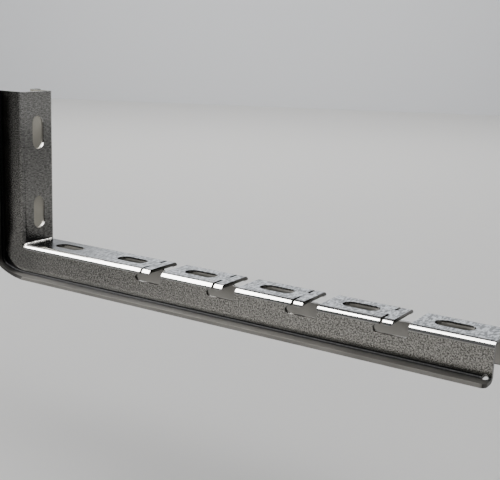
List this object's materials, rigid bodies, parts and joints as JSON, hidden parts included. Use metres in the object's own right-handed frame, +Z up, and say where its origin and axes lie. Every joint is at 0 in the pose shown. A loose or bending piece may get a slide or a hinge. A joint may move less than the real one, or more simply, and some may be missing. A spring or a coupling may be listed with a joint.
{
  "type": "cable tray bracket",
  "caption": "L-shaped bracket pressed from one steel sheet: slotted leg for a wall, slotted arm with spring tongues that clip a wire mesh cable tray in place.",
  "frame": {"origin": "midway between the two wall slots, on the leg's face", "axes": "+X along the arm, away from the wall; +Y across the sheet, the plane of symmetry being Y = 0; +Z up along the leg"},
  "size_m": [0.32, 0.044, 0.114],
  "materials": {
    "galvanised_steel": "satin, hot-dip galvanised sheet"
  },
  "bodies": {
    "root": {"bracket": "galvanised_steel"}
  },
  "joints": []
}
